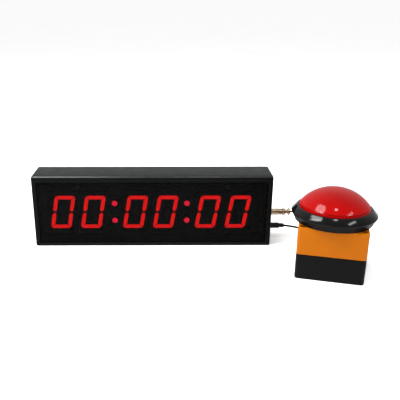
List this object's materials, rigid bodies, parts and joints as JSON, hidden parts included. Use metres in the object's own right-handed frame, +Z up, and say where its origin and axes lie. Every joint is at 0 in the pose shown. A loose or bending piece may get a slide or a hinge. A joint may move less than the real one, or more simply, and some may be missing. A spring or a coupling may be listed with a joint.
{
  "type": "chess clock",
  "caption": "Long black LED game clock with red slanted digits behind a smoked window, wired to a square two-tone station with a big red dome push button.",
  "frame": {"origin": "centre of the clock case's flat underside", "axes": "+X along the clock to the right as seen from its front, +Y from the front window to the rear cover, +Z up; the button station stands in front and to the right, turned 15 degrees clockwise seen from above"},
  "size_m": [0.4643, 0.2372, 0.1044],
  "materials": {
    "case_plastic": "fine-grain charcoal moulded plastic",
    "smoked_window": "smoked acrylic, gloss",
    "digit_black": "matt black digit face",
    "segment_lit": "lit red light window",
    "segment_dark": "unlit red light window",
    "colon_lit": "lit red lamp lens",
    "circuit_board": "green solder mask",
    "chip_black": "moulded component black",
    "steel_screw": "zinc plated",
    "brass_turned": "turned brass",
    "cell_steel": "satin steel",
    "nickel": "warm nickel plate",
    "jack_black": "moulded black",
    "base_black": "satin black moulding",
    "cover_yellow": "satin amber-yellow moulding",
    "seal_rubber": "black seal rubber",
    "bezel_black": "gloss black moulding",
    "dome_red": "clear-bright translucent red",
    "diffuser_white": "white diffuser",
    "spring_steel": "spring wire",
    "nut_black": "black nylon",
    "lamp_clear": "white lamp body",
    "switch_black": "switch body black",
    "switch_red": "red switch button",
    "cord_black": "black cord jacket",
    "usb_steel": "bright plated steel"
  },
  "bodies": {
    "clock_and_station": {"case_housing": "case_plastic", "front_window": "smoked_window", "rear_cover": "case_plastic", "rear_cover_screws": "steel_screw", "display_board": "circuit_board", "digit_body_1": "digit_black", "digit_body_2": "digit_black", "digit_body_3": "digit_black", "digit_body_4": "digit_black", "digit_body_5": "digit_black", "digit_body_6": "digit_black", "digit_segments_1": "segment_lit", "digit_segments_2": "segment_lit", "digit_segments_3": "segment_lit", "digit_segments_4": "segment_lit", "digit_segments_5": "segment_lit", "digit_segments_6": "segment_lit", "digit_middle_bars": "segment_dark", "colon_lamps": "colon_lit", "driver_chips": "chip_black", "board_standoffs": "brass_turned", "board_screws": "steel_screw", "buzzer": "chip_black", "cell_holder": "chip_black", "coin_cell": "cell_steel", "remote_sensor": "chip_black", "power_jack": "jack_black", "trigger_jack": "nickel", "trigger_jack_nut": "nickel", "station_base": "base_black", "station_cover": "cover_yellow", "cover_gasket": "seal_rubber", "cover_screws": "steel_screw", "bezel_barrel": "bezel_black", "return_spring": "spring_steel", "mounting_nut": "nut_black", "lamp_holder": "diffuser_white", "lamp": "lamp_clear", "microswitch_body": "switch_black", "microswitch_terminals": "brass_turned", "cord_grommet": "seal_rubber", "trigger_plug_body": "nickel", "trigger_plug_collar": "nickel", "trigger_cord_clock_end": "cord_black", "trigger_cord_coil": "cord_black", "trigger_cord_station_end": "cord_black", "power_plug": "cord_black", "power_plug_barrel": "usb_steel", "power_cord_clock_end": "cord_black", "power_cord_coil": "cord_black", "power_cord_usb_end": "cord_black", "usb_grip": "cord_black", "usb_shell": "usb_steel"},
    "dome": {"dome_lens": "dome_red", "dome_plunger": "diffuser_white"},
    "switch_lever": {"microswitch_lever": "spring_steel"},
    "switch_button": {"microswitch_button": "switch_red"},
    "plug_sleeve": {"coupling_sleeve": "nickel"}
  },
  "joints": [
    {"name": "dome_press", "type": "slide", "parent": "clock_and_station", "child": "dome", "axis": [0, 0, -1], "range_m": [0, 0.004], "stiffness_N_per_m": 500, "springref_m": -0.004, "deforming": ["return_spring"]},
    {"name": "lever_hinge", "type": "hinge", "parent": "clock_and_station", "child": "switch_lever", "pos_m": [0.22485, -0.10182, 0.0337], "axis": [-0.9668, 0.2554, 0], "range_deg": [0, 11.6]},
    {"name": "switch_plunge", "type": "slide", "parent": "clock_and_station", "child": "switch_button", "axis": [0, 0, -1], "range_m": [0, 0.0018]},
    {"name": "sleeve_turn", "type": "hinge", "parent": "clock_and_station", "child": "plug_sleeve", "pos_m": [0.167, 0, 0.0401], "axis": [1, 0, 0], "range_deg": [0, 720]}
  ],
  "couplings": [
    {"joint": "lever_hinge", "follows": "dome_press", "rad_per_m": 50.17},
    {"joint": "switch_plunge", "follows": "dome_press", "ratio": 0.4}
  ]
}
